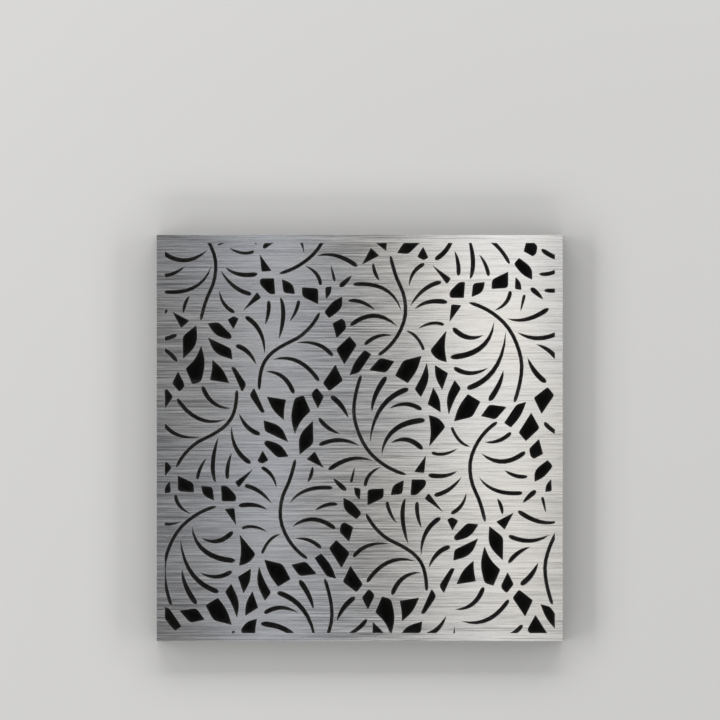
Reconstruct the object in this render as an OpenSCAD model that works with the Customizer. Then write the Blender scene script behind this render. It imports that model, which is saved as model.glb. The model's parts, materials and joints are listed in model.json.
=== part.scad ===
/* [Sheet] */
// Width of the sheet, side to side
sheet_width = 1000; // [400:10:2000]
// Height of the sheet, bottom to top
sheet_height = 1000; // [400:10:2000]
// Thickness of the steel
sheet_thickness = 3; // [1.5:0.5:6]
// Plain border left round the pattern
border_width = 20; // [10:1:60]

/* [Leaf pattern] */
// Size of the pattern against the drawn one
pattern_scale = 1; // [0.6:0.05:1.6]
// Width of the slot along the middle of a leaf
midrib_slot = 8.5; // [5:0.5:11]
// Rounding at the sharp corners of a pane
pane_corner = 2; // [1:0.5:3]

/* [Hidden] */

// The pattern repeats at these steps, glides this far along this line and turns about this point
column_step = [937.5, 3.5];
row_step = [0, 996];
glide_step = 467;
glide_line = -129;
turn_centre = [-275, 118.5];

// The leaves that have no middle slot: steps sideways and up, way of standing and midrib
bare_leaves = [[0, 0, 3, 2], [0, -1, 1, 0]];

// Steps along one side of a leaflet, along one side of a midrib and round a soft corner
leaflet_steps = 11;
midrib_steps = 22;
soft_steps = 4;
sharp_steps = 2;
soft_radius = 9;

// Shares of a leaflet at which it is full width, and the length of its round end against its width
leaflet_full = 0.75;
leaflet_end = 0.9;
midrib_full = 0.06;
midrib_end = 0.9;
swell_power = 0.65;

// Share of a path's length over which its heading is taken
heading_step = 0.01;

// The middle slot of each leaf, as points along it
midribs = [
    [[-158.5, -52], [-172, -102], [-192, -152], [-194, -205], [-170.5, -257.5], [-129, -297]],
    [[-352.5, -168], [-402.5, -189], [-444.5, -225], [-471.5, -275.5], [-481.5, -333], [-463.5, -413]],
    [[-451.5, -72.5], [-430.5, -39], [-401, -11.5], [-366, 6.5], [-332, 29], [-310, 62], [-302.5, 118]]
];

// Leaflets: points from the tip to the round end, width, how far the tip is drawn back in a leaf and in a
// turned leaf, and where needed full and end shares
upright_leaf = [
    [[[-205, -122], [-217, -92], [-242, -72]], 9.5, [-0.5, -5], 0.9],
    [[[-212, -168.5], [-244.5, -133.5], [-283.5, -117]], 10.5, [7.5, -8], 0.8],
    [[[-223, -180], [-256, -165.5], [-298, -167]], 11.5, [6.5, -7], 0.9],
    [[[-229, -230.5], [-261, -218.5], [-290, -222.5]], 7.5, [-1.5, -2], 0.6],
    [[[-199, -237.5], [-223, -253.5], [-240.5, -284.5]], 7, [-4, -2.5], 0.45, 0.5],
    [[[-182, -178.5], [-140, -132.5], [-67, -123]], 10, [20, -10], 0.85],
    [[[-118, -184], [-86, -166], [-54.5, -163.5]], 9.5, [8, -4], 0.6, 2],
    [[[-170, -221.5], [-116, -200], [-60, -224]], 11, [3, -6.5], 0.55],
    [[[-159, -248], [-125, -251.5], [-95, -271.5]], 9.5, [0, -4.5]],
    [[[-130, -111.5], [-120, -92], [-116, -71]], 8.5, [3, -3], 0.5, 2.5]
];
drooping_leaf = [
    [[[-389.5, -246.5], [-349, -253.5], [-312.5, -230]], 12, [-2, 3.5]],
    [[[-414, -212], [-383, -277], [-306.5, -302]], 13.5, [2, 4], 0.9],
    [[[-394, -331], [-353, -341.5], [-315, -327.5]], 11, [-1.5, -4.5], 0.8],
    [[[-442, -246], [-413.5, -333], [-347, -379]], 13, [-2, -4], 1],
    [[[-437, -328], [-427, -366.5], [-401.5, -409]], 13, [-7, 9.5], 0.9],
    [[[-419.5, -185], [-444, -166], [-453.5, -139]], 9, [-4, -4]],
    [[[-479.5, -186], [-484, -167], [-488.5, -148.5]], 7, [0, -2], 1],
    [[[24, -53.5], [-24.5, -52], [-77, -78.5]], 11, [-10, 0], 0.9],
    [[[-2.5, -18.5], [-50, -5], [-100, -17.5]], 10.5, [-2, -2], 0.65],
    [[[-27, 46.5], [-45, 79], [-71, 103]], 12.5, [3, -2.5], 0.7],
    [[[-65.5, -98.5], [-51, -113.5], [-33.5, -128.5]], 12.5, [0, 4], 0.9]
];
rising_leaf = [
    [[[-319, 73], [-361, 87], [-387.5, 128]], 11, [-2.5, -2.5], 0.8],
    [[[-337.5, 43.5], [-398.5, 48.5], [-449.5, 97]], 10, [-8, -3.5], 0.6],
    [[[-400.5, 2], [-448, 7.5], [-483, 35]], 10, [-7, -7], 0.85],
    [[[-377.5, -50], [-392.5, -75], [-400, -102]], 8.5, [-2, 0]],
    [[[-348.5, 1], [-361.5, -61], [-355, -108.5]], 10.5, [-2.5, 4.5], 0.5, 4.5],
    [[[-316.5, -40], [-325, -72], [-325.5, -101]], 9.5, [-3, 1], 0.65, 1.2],
    [[[-316, 26], [-303.5, -26.5], [-268.5, -61.5]], 11.5, [-3.5, -4.5], 0.9],
    [[[-296.5, 59], [-275, 26], [-245, 9.5]], 11.5, [-2, 2]],
    [[[-52, 11.5], [-79.5, 26.5], [-100.5, 49.5]], 10.5, [-4, -4], 0.7, 1.4]
];

// Panes between the leaves: corners, each with a cut-back length where it is softer than the others
panes = [
    [[-296, -237], [-256, -285.5, 6], [-271, -307, 40], [-297, -314.5], [-291, -276, 60]],
    [[-235, -299], [-190, -310, 8], [-170, -347.5, 3], [-201, -366], [-224, -336, 60]],
    [[-300, -341.5], [-268, -321.5], [-269, -353, 60], [-286, -382.5]],
    [[-248, -316], [-236, -349, 60], [-218, -380.5, 5], [-233.5, -400.5], [-255, -357.5, 99]],
    [[-168.5, -312], [-133, -303.5, 7], [-105.5, -334.5, 4], [-148, -340.5, 7]],
    [[-111.5, -295], [-95, -284], [-70.5, -312, 60], [-57.5, -346.5], [-81, -340.5, 6]],
    [[-76, -271.5, 4], [-58, -250.5], [-24, -282.5, 6], [-45, -320]],
    [[-38, -207], [-16, -219], [-26, -255.5], [-50, -231.5, 5], [-46.5, -212, 6]],
    [[-509, 95.5, 4], [-475, 122, 4], [-459, 102, 5], [-490, 56]],
    [[-475, -58], [-462, -72.5, 6], [-483, -99.5, 60], [-507, -111], [-507.5, -81.5, 20]],
    [[-466.5, -105, 3], [-465, -134, 4], [-481, -136.5, 3], [-479, -118, 30]],
    [[-448, -92], [-408, -111, 10], [-408, -134, 3], [-448, -131.5, 8]],
    [[-390.5, -117.5], [-362, -120, 8], [-358.5, -154], [-386, -142.5, 99]],
    [[-239, -30.5], [-224.5, -54.5, 3], [-240, -63.5, 4], [-252, -57, 3]],
    [[-232, -5, 6], [-195, -14, 99], [-175, -45.5], [-202.5, -48.5, 7], [-236.5, -14.5, 7]],
    [[-342, -117.5, 3], [-328, -116.5, 10], [-304, -141, 9], [-304, -156, 7], [-339, -156]],
    [[-333, -174.5, 3], [-308.5, -172, 4], [-304, -215]],
    [[-110.5, -33], [-88.5, -74], [-131, -52, 3]],
    [[-115, 42.5], [-114, -14, 8], [-148, -41], [-151.5, 7.5, 99]],
    [[-105.5, 124, 5], [-88, 102, 4], [-103, 72.5], [-121, 109, 8]],
    [[-260, 124, 4], [-233, 63, 4], [-242, 61.5, 6], [-272, 105.5, 9]],
    [[-229, 102], [-181.5, 94.5], [-186.5, 68, 40], [-187, 44], [-214, 67.5, 99]],
    [[-236.5, 43.5], [-192.5, 30.5, 99], [-176, -10.5], [-234, 17, 7]],
    [[-138, 105], [-121, 66, 4], [-146, 42, 60], [-160, 9], [-171, 52, 99], [-160, 99, 9]],
    [[-262.5, -76.5], [-297.5, -122.5, 4], [-307.5, -108.5, 4]]
];

// Slope of a smooth line at its point k
function slope(path, k) =
    k == 0 ? 2 * (path[1] - path[0]) - slope(path, 1) :
    k == len(path) - 1 ? 2 * (path[k] - path[k - 1]) - slope(path, k - 1) :
    (path[k + 1] - path[k - 1]) / 2;

// Place and slope on a smooth line through all points of a path, at a share t of its length
function span(path, t) = max(0, min(floor(t * (len(path) - 1)), len(path) - 2));
function along(path, k, u) =
    (1 + 2 * u) * (1 - u) ^ 2 * path[k] + u * (1 - u) ^ 2 * slope(path, k)
    + u ^ 2 * (3 - 2 * u) * path[k + 1] + u ^ 2 * (u - 1) * slope(path, k + 1);
function place(path, t) = along(path, span(path, t), t * (len(path) - 1) - span(path, t));
function heading(path, t) = place(path, t + heading_step) - place(path, t - heading_step);
function sideways(path, t) = [-heading(path, t)[1], heading(path, t)[0]] / norm(heading(path, t));
function reach(path) = norm(path[1] - path[0]) + norm(path[len(path) - 1] - path[1]);

// Half width of a slot: it swells from the tip to full width and closes in a round end
function swell(t, full) = sin(90 * min(1, t / full)) ^ swell_power;
function closing(t, share) = t <= 1 - share ? 1 : sqrt(max(0, 1 - ((t - 1 + share) / share) ^ 2));

// Outline of a slot whose steps are given as shares of its length, which counts from a share of its path
function slot(path, start, width, full, share, steps) = let(
    half = [for (t = steps) width / 2 * swell(t, full) * closing(t, share)],
    at = [for (t = steps) start + (1 - start) * t],
    last = len(steps) - 1
) concat(
    [for (k = [0:last]) place(path, at[k]) + half[k] * sideways(path, at[k])],
    [for (k = [last - 1:-1:1]) place(path, at[k]) - half[k] * sideways(path, at[k])]
);

function leaflet(item, turn) = slot(
    item[0], item[2][turn] / reach(item[0]), item[1],
    is_undef(item[3]) ? leaflet_full : item[3],
    (is_undef(item[4]) ? leaflet_end : item[4]) * item[1] / reach(item[0]),
    [for (k = [0:leaflet_steps]) sin(90 * k / leaflet_steps)]
);

function midrib(path) = slot(
    path, 0, midrib_slot, midrib_full, midrib_end * midrib_slot / reach(path),
    [for (k = [0:midrib_steps]) (1 - cos(180 * k / midrib_steps)) / 2]
);

// Outline of a pane: every corner is a curve between points on its two sides
function cut_back(corner, other) =
    min(is_undef(corner[2]) ? pane_corner : corner[2], norm(flat(other) - flat(corner)) / 2);
function flat(corner) = [corner[0], corner[1]];
function toward(corner, other) =
    flat(corner) + cut_back(corner, other) * (flat(other) - flat(corner)) / norm(flat(other) - flat(corner));
function curve_steps(corner) = is_undef(corner[2]) || corner[2] < soft_radius ? sharp_steps : soft_steps;
function curve(from, by, to, t) = (1 - t) ^ 2 * from + 2 * t * (1 - t) * by + t ^ 2 * to;
function pane(corners) = let(count = len(corners)) [
    for (k = [0:count - 1]) let(
        here = corners[k],
        from = toward(here, corners[(k + count - 1) % count]),
        to = toward(here, corners[(k + 1) % count]),
        steps = curve_steps(here)
    ) for (step = [0:steps]) curve(from, flat(here), to, step / steps)
];

// The motif as drawn and the one that is turned, and the four ways in which they stand in every repeat
motifs = [for (turn = [0, 1]) concat(
    [for (path = midribs) midrib(path)],
    [for (item = concat(upright_leaf, drooping_leaf, rising_leaf)) leaflet(item, turn)],
    [for (corners = panes) pane(corners)]
)];
function turned(p) = 2 * turn_centre - p;
function glided(p) = [p[0] + glide_step, 2 * glide_line - p[1]];
function stood(p, way) = let(q = way % 2 == 1 ? turned(p) : p) way > 1 ? glided(q) : q;
function put(p, way, i, j) = (stood(p, way) + i * column_step + j * row_step) * pattern_scale;
function bare(leaf) = len([for (other = bare_leaves) if (other == leaf) other]) > 0;

// Window inside the border, and how far a cut-out reaches into it, by half a middle slot or it isn't made
window = [sheet_width / 2 - border_width, sheet_height / 2 - border_width];
function depth(p) = min(window[0] - abs(p[0]), window[1] - abs(p[1]));
columns = ceil(window[0] / (column_step[0] * pattern_scale)) + 1;
rows = ceil(window[1] / (row_step[1] * pattern_scale)) + 1;
outlines = [
    for (i = [-columns:columns], j = [-rows:rows], way = [0:3], k = [0:len(motifs[0]) - 1])
        let(moved = [for (p = motifs[way % 2][k]) put(p, way, i, j)])
        if (max([for (p = moved) depth(p)]) > midrib_slot / 2 && !bare([i, j, way, k])) moved
];
function whole(outline) = min([for (p = outline) depth(p)]) >= 0;

module cut_outs() {
    for (outline = outlines)
        if (whole(outline))
            polygon(outline);
    for (outline = outlines)
        if (!whole(outline))
            intersection() {
                polygon(outline);
                square(2 * window, center = true);
            }
}

module sheet() {
    color("silver")
        linear_extrude(sheet_thickness)
            difference() {
                square([sheet_width, sheet_height], center = true);
                cut_outs();
            }
}

sheet();
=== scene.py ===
import json
import math

import bpy
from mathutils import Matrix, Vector

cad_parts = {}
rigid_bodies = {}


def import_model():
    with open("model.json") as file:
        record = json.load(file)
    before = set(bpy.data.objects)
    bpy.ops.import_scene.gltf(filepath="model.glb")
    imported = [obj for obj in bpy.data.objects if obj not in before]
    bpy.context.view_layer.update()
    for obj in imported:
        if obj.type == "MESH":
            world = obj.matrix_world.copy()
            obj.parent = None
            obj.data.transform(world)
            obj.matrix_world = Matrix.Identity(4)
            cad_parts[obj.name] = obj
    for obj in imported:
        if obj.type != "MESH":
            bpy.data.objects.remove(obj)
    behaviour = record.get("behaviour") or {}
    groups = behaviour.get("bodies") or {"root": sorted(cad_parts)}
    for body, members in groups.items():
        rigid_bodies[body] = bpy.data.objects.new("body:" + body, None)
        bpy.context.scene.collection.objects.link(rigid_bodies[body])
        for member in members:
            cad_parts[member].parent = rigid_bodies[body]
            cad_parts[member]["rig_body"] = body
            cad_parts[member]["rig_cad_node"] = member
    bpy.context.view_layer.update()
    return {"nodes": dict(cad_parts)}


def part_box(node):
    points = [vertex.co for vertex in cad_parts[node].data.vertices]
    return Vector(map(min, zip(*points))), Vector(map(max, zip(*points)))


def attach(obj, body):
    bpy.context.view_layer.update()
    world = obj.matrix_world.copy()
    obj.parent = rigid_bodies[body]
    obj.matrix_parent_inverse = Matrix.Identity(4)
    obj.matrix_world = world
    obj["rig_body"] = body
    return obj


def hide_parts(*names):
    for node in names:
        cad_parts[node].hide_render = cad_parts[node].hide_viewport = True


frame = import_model()


# small helpers for node trees

def addNode(tree, kind, place, **settings):
    node = tree.nodes.new(kind)
    node.location = place
    for name, value in settings.items():
        setattr(node, name, value)
    return node


def setInputs(node, values):
    for name, value in values.items():
        node.inputs[name].default_value = value


def feed(tree, socket, value):
    if isinstance(value, bpy.types.NodeSocket):
        tree.links.new(value, socket)
    else:
        socket.default_value = value


def addMath(tree, operation, place, first, second):
    node = addNode(tree, "ShaderNodeMath", place, operation=operation)
    for socket, value in zip(node.inputs, (first, second)):
        feed(tree, socket, value)
    return node.outputs[0]


def addRange(tree, place, value, fromLow, fromHigh, toLow, toHigh, kind="LINEAR"):
    node = addNode(tree, "ShaderNodeMapRange", place, interpolation_type=kind)
    setInputs(node, {"From Min": fromLow, "From Max": fromHigh, "To Min": toLow, "To Max": toHigh})
    tree.links.new(value, node.inputs["Value"])
    return node.outputs["Result"]


mixSockets = {"share": 0, "first": 6, "second": 7, "result": 2}  # a Mix node's sockets for colours


def addMix(tree, place, share, first, second, blend="MIX"):
    node = addNode(tree, "ShaderNodeMix", place, data_type="RGBA", blend_type=blend)
    feed(tree, node.inputs[mixSockets["share"]], share)
    feed(tree, node.inputs[mixSockets["first"]], first)
    feed(tree, node.inputs[mixSockets["second"]], second)
    return node.outputs[mixSockets["result"]]


def newGroup(name, inputs, outputs):
    group = bpy.data.node_groups.new(name, "ShaderNodeTree")
    for label, kind in inputs:
        group.interface.new_socket(label, in_out="INPUT", socket_type=kind)
    for label, kind in outputs:
        group.interface.new_socket(label, in_out="OUTPUT", socket_type=kind)
    enter = addNode(group, "NodeGroupInput", (-900, 0))
    leave = addNode(group, "NodeGroupOutput", (900, 0))
    return group, enter, leave


def useGroup(tree, group, place, coords, values):
    node = addNode(tree, "ShaderNodeGroup", place, node_tree=group)
    setInputs(node, values)
    tree.links.new(coords, node.inputs["Coords"])
    return node.outputs[0]


def newMaterial(name):
    material = bpy.data.materials.new(name)
    material.use_nodes = True
    tree = material.node_tree
    coords = addNode(tree, "ShaderNodeTexCoord", (-1600, 0)).outputs["Object"]
    return material, tree, tree.nodes["Principled BSDF"], coords


# effects that the steel's finishes share

lineValues = {
    "noise": {"Scale": 1, "Detail": 2, "Roughness": 0.6},
    "none": 0.34,                        # noise that leaves no line
    "full": 0.66,                        # and that makes a full one
}


def buildLineGroup():
    group, enter, leave = newGroup(
        "grainLines",
        [("Coords", "NodeSocketVector"), ("Run X", "NodeSocketFloat"), ("Run Y", "NodeSocketFloat"),
         ("Run Z", "NodeSocketFloat"), ("Shift", "NodeSocketFloat")],
        [("Lines", "NodeSocketFloat")])
    runs = addNode(group, "ShaderNodeCombineXYZ", (-700, -120))
    for axis in ("X", "Y", "Z"):
        group.links.new(enter.outputs["Run " + axis], runs.inputs[axis])
    stretched = addNode(group, "ShaderNodeVectorMath", (-500, 0), operation="DIVIDE")
    group.links.new(enter.outputs["Coords"], stretched.inputs[0])
    group.links.new(runs.outputs[0], stretched.inputs[1])
    moved = addNode(group, "ShaderNodeVectorMath", (-320, 0), operation="ADD")
    group.links.new(stretched.outputs[0], moved.inputs[0])
    group.links.new(enter.outputs["Shift"], moved.inputs[1])
    noise = addNode(group, "ShaderNodeTexNoise", (-120, 0))
    setInputs(noise, lineValues["noise"])
    group.links.new(moved.outputs[0], noise.inputs["Vector"])
    lines = addRange(group, (120, 0), noise.outputs[0], lineValues["none"], lineValues["full"], 0, 1)
    group.links.new(lines, leave.inputs["Lines"])
    return group


cloudValues = {
    "noise": {"Scale": 1, "Detail": 1, "Roughness": 0.4},
    "cool": 0.35,                        # noise at which the tint is all cool
    "warm": 0.65,                        # and at which it is all warm
}


def buildTintGroup():
    group, enter, leave = newGroup(
        "steelTint",
        [("Coords", "NodeSocketVector"), ("Size", "NodeSocketFloat"), ("Cool", "NodeSocketColor"),
         ("Warm", "NodeSocketColor")],
        [("Tint", "NodeSocketColor")])
    spread = addNode(group, "ShaderNodeVectorMath", (-600, 0), operation="DIVIDE")
    group.links.new(enter.outputs["Coords"], spread.inputs[0])
    group.links.new(enter.outputs["Size"], spread.inputs[1])
    noise = addNode(group, "ShaderNodeTexNoise", (-400, 0))
    setInputs(noise, cloudValues["noise"])
    group.links.new(spread.outputs[0], noise.inputs["Vector"])
    share = addRange(group, (-180, 0), noise.outputs[0], cloudValues["cool"], cloudValues["warm"], 0, 1,
                     "SMOOTHSTEP")
    tint = addMix(group, (60, 0), share, enter.outputs["Cool"], enter.outputs["Warm"])
    group.links.new(tint, leave.inputs["Tint"])
    return group


grainLines = buildLineGroup()
steelTint = buildTintGroup()
tintValues = {
    "Size": 0.34,                        # one cloud of tint, m
    "Cool": (0.985, 0.992, 1.01, 1),
    "Warm": (1.01, 1.0, 0.985, 1),
}
print("shared effects built")


def addSteelColour(tree, shader, coords, colour):
    tint = useGroup(tree, steelTint, (-620, 560), coords, tintValues)
    tinted = addMix(tree, (-230, 420), 1, colour, tint, "MULTIPLY")
    tree.links.new(tinted, shader.inputs["Base Color"])


def addBump(tree, shader, height, finish):
    bump = addNode(tree, "ShaderNodeBump", (-300, -260))
    setInputs(bump, {"Strength": finish["bumpStrength"], "Distance": finish["bumpDepth"]})
    tree.links.new(height, bump.inputs["Height"])
    tree.links.new(bump.outputs[0], shader.inputs["Normal"])


# brushed faces: lines run side to side, from broad bands down to single scratches

faceFinish = {
    "bands": {"Run X": 1.2, "Run Y": 0.02, "Run Z": 1.2, "Shift": 3.1},
    "brush": {"Run X": 0.35, "Run Y": 0.0016, "Run Z": 0.35, "Shift": 11.7},
    "hair": {"Run X": 0.08, "Run Y": 0.0013, "Run Z": 0.08, "Shift": 23.3},
    "scratch": {"Run X": 0.2, "Run Y": 0.0018, "Run Z": 0.2, "Shift": 41.9},
    "shares": {"bands": 0.06, "brush": 0.54, "hair": 0.40},
    "scratchFrom": 0.8,                  # only the strongest lines become scratches
    "dark": (0.20, 0.20, 0.203, 1),
    "light": (1.0, 0.995, 0.985, 1),
    "scratchTone": (0.40, 0.40, 0.405, 1),
    "scratchDepth": 0.5,
    "roughLow": 0.09,
    "roughHigh": 0.4,
    "anisotropy": 0.9,
    "bumpStrength": 0.12,
    "bumpDepth": 0.0002,                 # m
}


def buildBrushedFace():
    finish = faceFinish
    material, tree, shader, coords = newMaterial("brushedFace")
    lines = {}
    for row, layer in enumerate(("bands", "brush", "hair", "scratch")):
        lines[layer] = useGroup(tree, grainLines, (-1300, 300 - 220 * row), coords, finish[layer])
    grain = None
    for row, (layer, share) in enumerate(finish["shares"].items()):
        part = addMath(tree, "MULTIPLY", (-1050, 300 - 180 * row), lines[layer], share)
        grain = part if grain is None else addMath(tree, "ADD", (-850, 300 - 180 * row), grain, part)
    scratch = addRange(tree, (-1050, -380), lines["scratch"], finish["scratchFrom"], 1,
                       0, finish["scratchDepth"])
    steel = addMix(tree, (-620, 320), grain, finish["dark"], finish["light"])
    marked = addMix(tree, (-440, 320), scratch, steel, finish["scratchTone"])
    addSteelColour(tree, shader, coords, marked)
    rough = addRange(tree, (-440, 60), grain, 0, 1, finish["roughLow"], finish["roughHigh"])
    tree.links.new(rough, shader.inputs["Roughness"])
    addBump(tree, shader, addMath(tree, "SUBTRACT", (-620, -260), grain, scratch), finish)
    across = addNode(tree, "ShaderNodeTangent", (-300, -480), direction_type="RADIAL", axis="X")
    tree.links.new(across.outputs[0], shader.inputs["Tangent"])  # highlights spread across the lines
    setInputs(shader, {"Metallic": 1, "Anisotropic": finish["anisotropy"]})
    return material


# laser cut walls: fine marks run straight through the sheet, darker towards the back

wallFinish = {
    "marks": {"Run X": 0.0007, "Run Y": 0.0007, "Run Z": 0.006, "Shift": 5.3},
    "waves": {"Run X": 0.004, "Run Y": 0.004, "Run Z": 0.02, "Shift": 17.9},
    "waveShare": 0.35,
    "dark": (0.13, 0.128, 0.125, 1),
    "light": (0.32, 0.315, 0.307, 1),
    "burnt": (0.09, 0.08, 0.07, 1),
    "burntUpTo": 0.0011,                 # height above the back face, m
    "burntShare": 0.55,
    "roughLow": 0.38,
    "roughHigh": 0.6,
    "bumpStrength": 0.35,
    "bumpDepth": 0.00012,                # m
}


def buildCutWall():
    finish = wallFinish
    material, tree, shader, coords = newMaterial("laserCutWall")
    marks = useGroup(tree, grainLines, (-1300, 260), coords, finish["marks"])
    waves = useGroup(tree, grainLines, (-1300, 0), coords, finish["waves"])
    wavePart = addMath(tree, "MULTIPLY", (-1050, 0), waves, finish["waveShare"])
    markPart = addMath(tree, "MULTIPLY", (-1050, 260), marks, 1 - finish["waveShare"])
    grain = addMath(tree, "ADD", (-850, 120), markPart, wavePart)
    steel = addMix(tree, (-620, 320), grain, finish["dark"], finish["light"])
    place = addNode(tree, "ShaderNodeSeparateXYZ", (-1300, -260))
    tree.links.new(coords, place.inputs[0])
    burn = addRange(tree, (-1050, -260), place.outputs["Z"], 0, finish["burntUpTo"],
                    finish["burntShare"], 0)
    burnt = addMix(tree, (-420, 320), burn, steel, finish["burnt"])
    addSteelColour(tree, shader, coords, burnt)
    rough = addRange(tree, (-420, 60), grain, 0, 1, finish["roughHigh"], finish["roughLow"])
    tree.links.new(rough, shader.inputs["Roughness"])
    addBump(tree, shader, grain, finish)
    setInputs(shader, {"Metallic": 1})
    return material


# deburred edges: bare bright steel with short file marks

edgeFinish = {
    "marks": {"Run X": 0.0016, "Run Y": 0.0016, "Run Z": 0.0016, "Shift": 29.1},
    "dark": (0.60, 0.60, 0.60, 1),
    "light": (0.86, 0.855, 0.845, 1),
    "roughLow": 0.24,
    "roughHigh": 0.42,
}


def buildDressedEdge():
    finish = edgeFinish
    material, tree, shader, coords = newMaterial("dressedEdge")
    marks = useGroup(tree, grainLines, (-1300, 260), coords, finish["marks"])
    steel = addMix(tree, (-620, 320), marks, finish["dark"], finish["light"])
    addSteelColour(tree, shader, coords, steel)
    rough = addRange(tree, (-420, 60), marks, 0, 1, finish["roughHigh"], finish["roughLow"])
    tree.links.new(rough, shader.inputs["Roughness"])
    setInputs(shader, {"Metallic": 1})
    return material


# the sheet: a copy of the cut solid, with every edge broken

sheetPiece = {
    "node": "sheet",
    "slot": "steel",
    "mergeWithin": 0.000005,             # joins the loose triangles, m
    "flatWithin": 0.2,                   # triangles of one plain face become one, degrees
    "edgeBreak": 0.0006,                 # width of the deburred edge, m
    "edgeSteps": 3,
    "smoothAngle": 45,                   # flatter wall facets run together, degrees
    "faceNormal": 0.999,                 # upright share of a plain face's normal
    "wallNormal": 0.05,                  # and of a cut wall's
}


def selectOnly(thing):
    bpy.ops.object.select_all(action="DESELECT")
    thing.select_set(True)
    bpy.context.view_layer.objects.active = thing


def selectFaces(thing, test):
    bpy.ops.mesh.select_mode(type="FACE")
    bpy.ops.mesh.select_all(action="DESELECT")
    bpy.ops.object.mode_set(mode="OBJECT")
    for face in thing.data.polygons:
        face.select = test(abs(face.normal.z))
    bpy.ops.object.mode_set(mode="EDIT")


def finishOf(upright):
    if upright > sheetPiece["faceNormal"]:
        return "face"
    return "wall" if upright < sheetPiece["wallNormal"] else "edge"


def buildSheet():
    piece = sheetPiece
    selectOnly(frame["nodes"][piece["node"]])
    bpy.ops.object.duplicate()
    sheet = bpy.context.active_object
    sheet.name = "leafSheet"
    sheet.parent = None
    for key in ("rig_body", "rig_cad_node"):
        del sheet[key]

    bpy.ops.object.mode_set(mode="EDIT")
    bpy.ops.mesh.select_all(action="SELECT")
    bpy.ops.mesh.remove_doubles(threshold=piece["mergeWithin"])
    bpy.ops.mesh.dissolve_limited(angle_limit=math.radians(piece["flatWithin"]))
    selectFaces(sheet, lambda upright: finishOf(upright) == "face")
    bpy.ops.mesh.region_to_loop()
    bpy.ops.mesh.bevel(offset=piece["edgeBreak"], segments=piece["edgeSteps"], affect="EDGES",
                       clamp_overlap=False, loop_slide=False)
    bpy.ops.object.mode_set(mode="OBJECT")

    finishes = {"face": buildBrushedFace(), "edge": buildDressedEdge(), "wall": buildCutWall()}
    sheet.data.materials.clear()
    for material in finishes.values():
        sheet.data.materials.append(material)
    slots = list(finishes)
    for face in sheet.data.polygons:
        face.material_index = slots.index(finishOf(abs(face.normal.z)))

    bpy.ops.object.mode_set(mode="EDIT")
    selectFaces(sheet, lambda upright: finishOf(upright) == "face")
    bpy.ops.mesh.region_to_loop()
    bpy.ops.mesh.mark_sharp()            # plain faces keep their flat shading up to the rim
    bpy.ops.object.mode_set(mode="OBJECT")
    bpy.ops.object.shade_smooth_by_angle(angle=math.radians(piece["smoothAngle"]), keep_sharp_edges=True)
    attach(sheet, "root")
    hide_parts(piece["node"])
    return sheet


leafSheet = buildSheet()
print("sheet built:", len(leafSheet.data.polygons), "faces")


# floor, light and camera

floorPiece = {
    "size": 19,                          # m, ends short of the strip lights
    "tone": (0.78, 0.775, 0.765, 1),
    "roughness": 0.9,
    "shine": 0,                          # matte, so that the cut-outs stay dark
}


def buildFloor():
    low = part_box(sheetPiece["node"])[0]
    bpy.ops.object.select_all(action="DESELECT")
    bpy.ops.mesh.primitive_plane_add(size=floorPiece["size"], location=(0, 0, low.z))
    floor = bpy.context.active_object
    floor.name = "paleFloor"
    material = bpy.data.materials.new("paleFloor")
    material.use_nodes = True
    shader = material.node_tree.nodes["Principled BSDF"]
    setInputs(shader, {"Base Color": floorPiece["tone"], "Roughness": floorPiece["roughness"],
                       "Specular IOR Level": floorPiece["shine"]})
    floor.data.materials.append(material)


stripLights = {
    "distance": 10.0,                    # from the sheet's middle, m
    "length": 16.0,                      # m
    "lowEdge": 1.0,                      # seen from the sheet, degrees above the floor
    "sides": {                           # stronger and taller on the photo's upper left
        "left": {"way": (-1, 0), "highEdge": 2.4, "power": 11800},
        "top": {"way": (0, 1), "highEdge": 2.4, "power": 11800},
        "right": {"way": (1, 0), "highEdge": 2.0, "power": 7500},
        "bottom": {"way": (0, -1), "highEdge": 2.0, "power": 7500},
    },
}


def buildStripLights():
    strip = stripLights
    low = strip["distance"] * math.tan(math.radians(strip["lowEdge"]))
    for name, side in strip["sides"].items():
        high = strip["distance"] * math.tan(math.radians(side["highEdge"]))
        x, y = side["way"]
        place = Vector((x * strip["distance"], y * strip["distance"], (low + high) / 2))
        bpy.ops.object.light_add(type="AREA", location=place)
        lamp = bpy.context.active_object
        lamp.name = name + "Strip"
        lamp.rotation_euler = place.to_track_quat("Z", "Y").to_euler()
        lamp.data.shape = "RECTANGLE"
        lamp.data.size = strip["length"]
        lamp.data.size_y = high - low
        lamp.data.energy = side["power"]
        lamp.visible_camera = False
        lamp.visible_glossy = False      # steel shows the studio walls instead


studio = {
    "fill": 0.002,                       # what lights the floor from all round
    "pale": 0.9,                         # what the camera sees past the floor
    "low": (0.5, 0.5, 0.5, 1),           # studio walls, as the steel shows them
    "dim": (0.23, 0.23, 0.23, 1),        # unlit left side of the ceiling
    "grey": (0.33, 0.33, 0.33, 1),       # rest of the ceiling
    "greyFrom": -0.2,                    # sideways lean at which that starts
    "greyTo": 0.0,                       # and at which it is full
    "wallsUpTo": 0.65,                   # upward share at which the walls end
    "ceilingFrom": 0.85,                 # and from which there is only ceiling
}
panels = {
    "coolPanel": {
        "lean": -0.088,                  # of its middle, sideways
        "half": 0.005,                   # half its even width
        "soft": 0.045,                   # width of its soft edge
        "tone": (0.88, 0.92, 1.01, 1),
        "lowShare": 0.9,                 # what is left of it where it has faded
    },
    "warmPanel": {
        "lean": 0.13,
        "half": 0.0,
        "soft": 0.12,
        "tone": (1.96, 1.92, 1.84, 1),
        "lowShare": 0.5,
    },
    "fadeFrom": 0.05,                    # lean to the photo's top at which the panels start to fade
    "fadeTo": -0.25,                     # and at which they have faded
}


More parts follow.
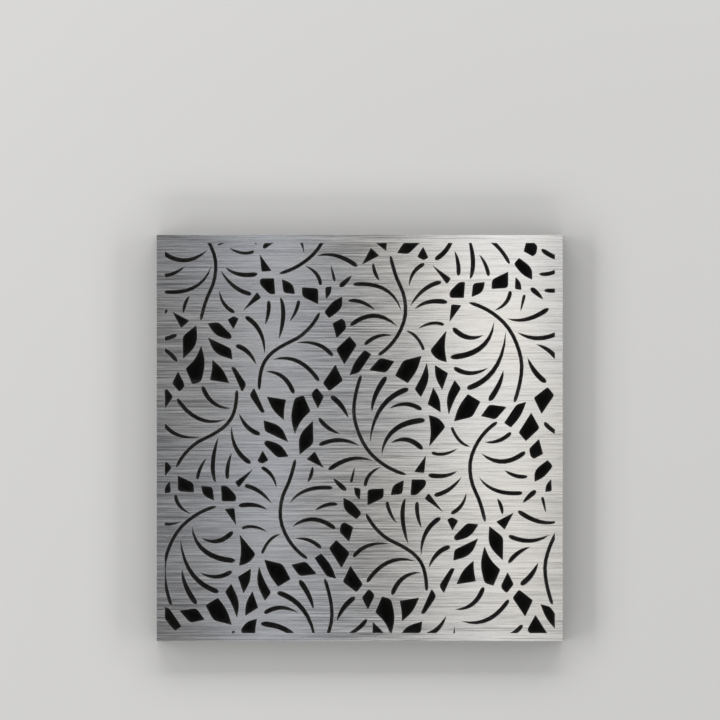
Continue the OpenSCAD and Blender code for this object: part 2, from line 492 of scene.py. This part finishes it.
def addPanel(tree, row, seen, panel, way):
    away = addMath(tree, "SUBTRACT", (-780, row), way.outputs["X"], panel["lean"])
    gap = addMath(tree, "ABSOLUTE", (-600, row), away, 0)
    outer = panel["half"] + panel["soft"]
    band = addRange(tree, (-420, row), gap, panel["half"], outer, 1, 0, "SMOOTHSTEP")
    fade = addRange(tree, (-420, row - 220), way.outputs["Y"], panels["fadeTo"], panels["fadeFrom"],
                    panel["lowShare"], 1, "SMOOTHSTEP")
    share = addMath(tree, "MULTIPLY", (-240, row), band, fade)
    return addMix(tree, (-60, row), share, seen, panel["tone"])


def buildStudio():
    world = bpy.data.worlds.new("studio")
    bpy.context.scene.world = world
    world.use_nodes = True
    tree = world.node_tree
    tree.nodes.clear()
    toward = addNode(tree, "ShaderNodeTexCoord", (-1200, 0)).outputs["Generated"]
    way = addNode(tree, "ShaderNodeSeparateXYZ", (-1000, 0))
    tree.links.new(toward, way.inputs[0])
    sideways = addRange(tree, (-780, 900), way.outputs["X"], studio["greyFrom"], studio["greyTo"], 0, 1,
                        "SMOOTHSTEP")
    ceiling = addMix(tree, (-60, 900), sideways, studio["dim"], studio["grey"])
    for row, name in ((450, "coolPanel"), (0, "warmPanel")):
        ceiling = addPanel(tree, row, ceiling, panels[name], way)
    upward = addRange(tree, (-420, -450), way.outputs["Z"], studio["wallsUpTo"], studio["ceilingFrom"], 0, 1,
                      "SMOOTHSTEP")
    seen = addMix(tree, (200, 0), upward, studio["low"], ceiling)
    rays = addNode(tree, "ShaderNodeLightPath", (300, 420))
    shades = []
    for row, strength in enumerate((studio["fill"], 1, studio["pale"])):
        shade = addNode(tree, "ShaderNodeBackground", (500, 200 - 160 * row))
        setInputs(shade, {"Color": (1, 1, 1, 1), "Strength": strength})
        shades.append(shade)
    tree.links.new(seen, shades[1].inputs["Color"])
    mixed = shades[0].outputs[0]
    for row, (ray, shade) in enumerate((("Is Glossy Ray", shades[1]), ("Is Camera Ray", shades[2]))):
        mix = addNode(tree, "ShaderNodeMixShader", (720 + 200 * row, 0))
        tree.links.new(rays.outputs[ray], mix.inputs[0])
        tree.links.new(mixed, mix.inputs[1])
        tree.links.new(shade.outputs[0], mix.inputs[2])
        mixed = mix.outputs[0]
    leave = addNode(tree, "ShaderNodeOutputWorld", (1140, 0))
    tree.links.new(mixed, leave.inputs["Surface"])


photoView = {
    "imageWidth": 720,                   # px, the image is square
    "sheetWidth": 406.4,                 # px
    "sheetCentre": (359.73, 438.04),     # px from the image's left and top
    "height": 2.6,                       # camera above the sheet's face, m
    "sensor": 36,                        # mm
}


def buildCamera():
    view = photoView
    low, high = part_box(sheetPiece["node"])
    pixel = (high.x - low.x) / view["sheetWidth"]
    middle = view["imageWidth"] / 2
    across = (low.x + high.x) / 2 + (middle - view["sheetCentre"][0]) * pixel
    along = (low.y + high.y) / 2 + (view["sheetCentre"][1] - middle) * pixel
    bpy.ops.object.camera_add(location=(across, along, high.z + view["height"]), rotation=(0, 0, 0))
    camera = bpy.context.active_object
    camera.name = "photoCamera"
    camera.data.sensor_width = view["sensor"]
    camera.data.lens = view["sensor"] * view["height"] / (view["imageWidth"] * pixel)
    bpy.context.scene.camera = camera


buildFloor()
buildStripLights()
buildStudio()
buildCamera()
bpy.context.scene.view_settings.view_transform = "Standard"
print("floor, light and camera placed")
